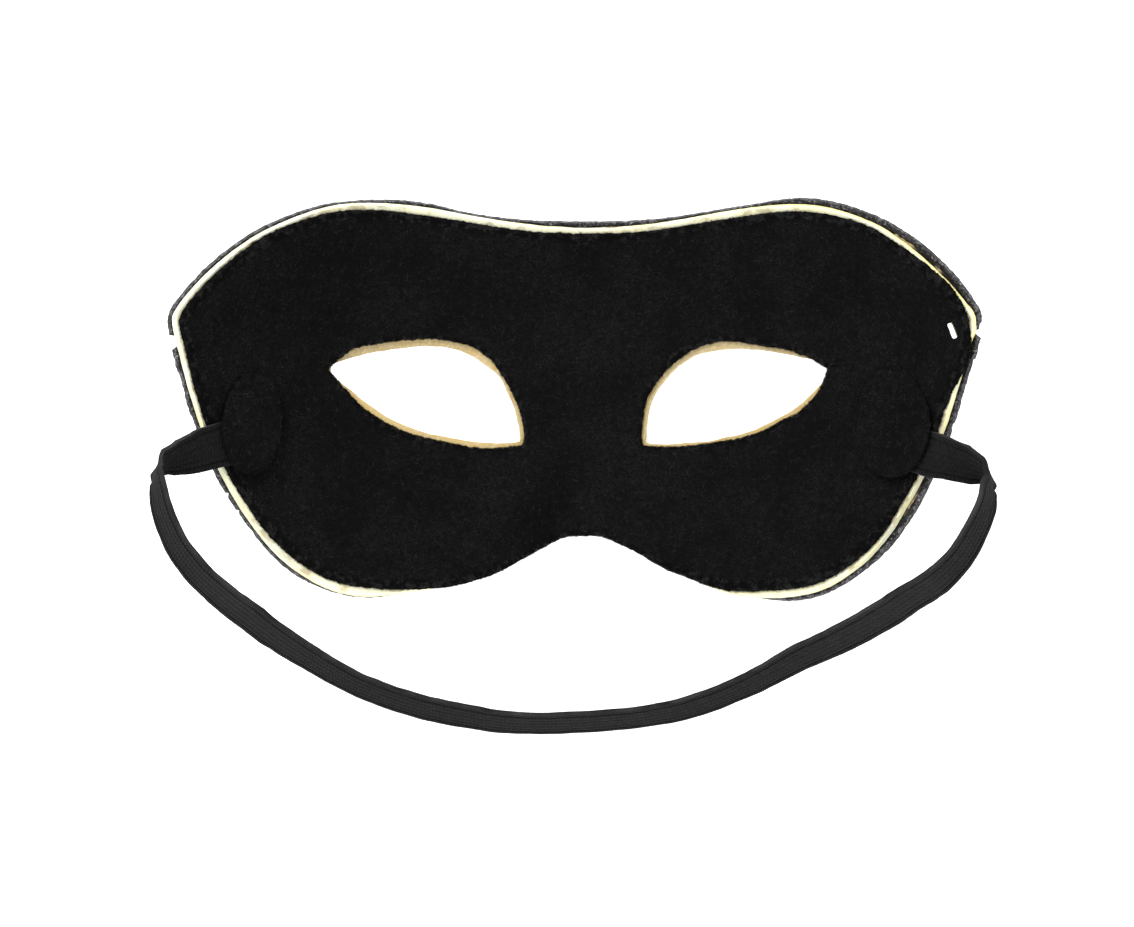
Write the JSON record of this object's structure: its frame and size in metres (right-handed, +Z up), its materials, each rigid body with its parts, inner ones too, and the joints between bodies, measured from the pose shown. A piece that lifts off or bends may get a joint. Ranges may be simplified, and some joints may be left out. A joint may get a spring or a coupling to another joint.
{
  "type": "party eye mask",
  "caption": "Half-face party mask lying with its felt-lined hollow up, its flat elastic strap looped below it.",
  "frame": {"origin": "middle of the mask's own box at the level of the surface that it rests on", "axes": "+X across the face, towards the temple with the small slot; +Y towards the forehead; +Z up, out of the hollow side"},
  "size_m": [0.1871, 0.1224, 0.0563],
  "materials": {
    "textured_cover": "grey-black, coarse and matt with a raw cut edge",
    "cream_core": "cream white, matt, with tan stains along the glue lines",
    "black_felt": "black felt with short fibres",
    "black_elastic": "black knitted elastic with lengthwise ribs"
  },
  "bodies": {
    "root": {"outer_cover": "textured_cover", "shell_core": "cream_core", "felt_lining": "black_felt", "patch_left": "black_felt", "patch_right": "black_felt", "elastic_strap": "black_elastic"}
  },
  "joints": []
}
